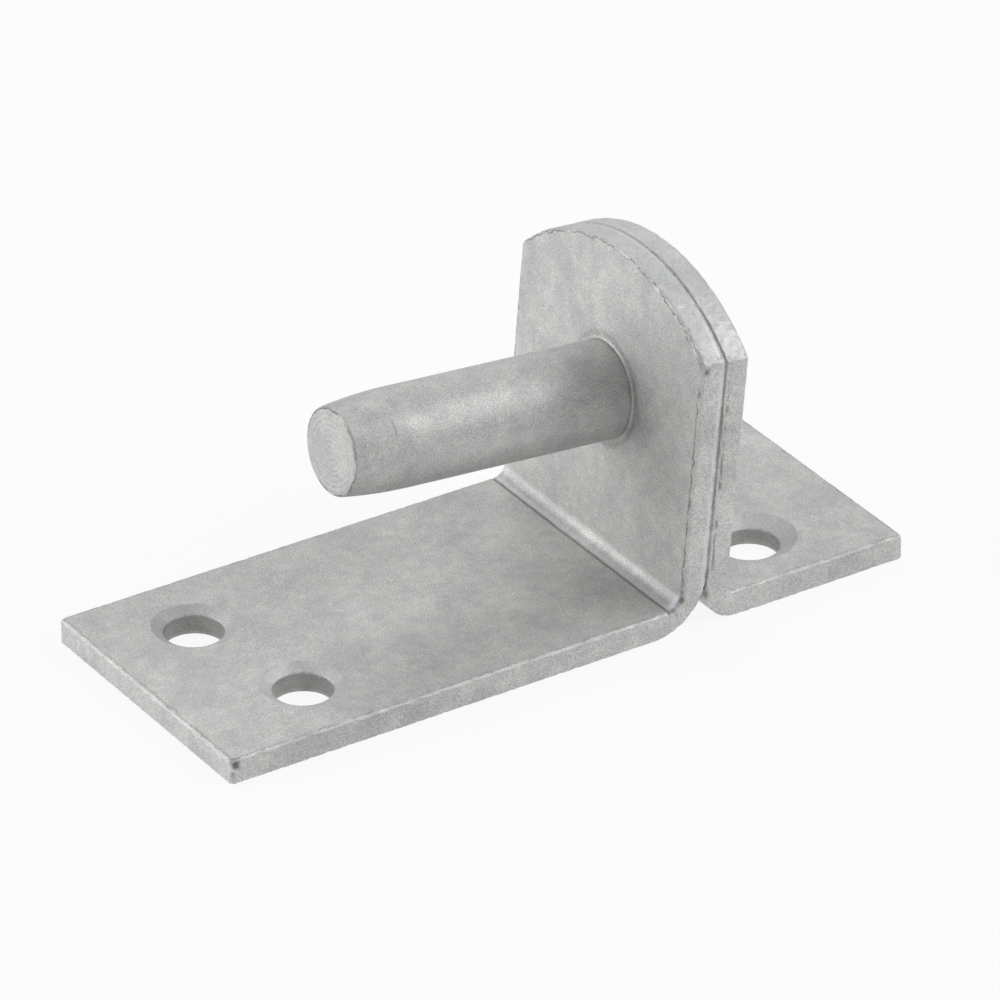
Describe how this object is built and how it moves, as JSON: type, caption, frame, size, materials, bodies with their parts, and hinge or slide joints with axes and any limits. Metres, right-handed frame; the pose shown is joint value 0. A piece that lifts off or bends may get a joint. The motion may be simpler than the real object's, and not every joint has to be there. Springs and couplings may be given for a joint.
{
  "type": "gate hinge pin",
  "caption": "Galvanised gate hinge pin on an angled plate: a round pin stands on two bent, countersunk leaves set back to back.",
  "frame": {"origin": "in the mounting surface, under the middle of the whole plate", "axes": "+X along the long leg, the way the pin points; +Z away from the mounting surface; Y across the plate"},
  "size_m": [0.1234, 0.0504, 0.0552],
  "materials": {
    "zinc_plate": "hot-dip galvanised steel, dull grey",
    "zinc_pin": "hot-dip galvanised steel, dull grey, faint turning marks"
  },
  "bodies": {
    "root": {"long_plate": "zinc_plate", "short_plate": "zinc_plate", "hinge_pin": "zinc_pin"}
  },
  "joints": []
}
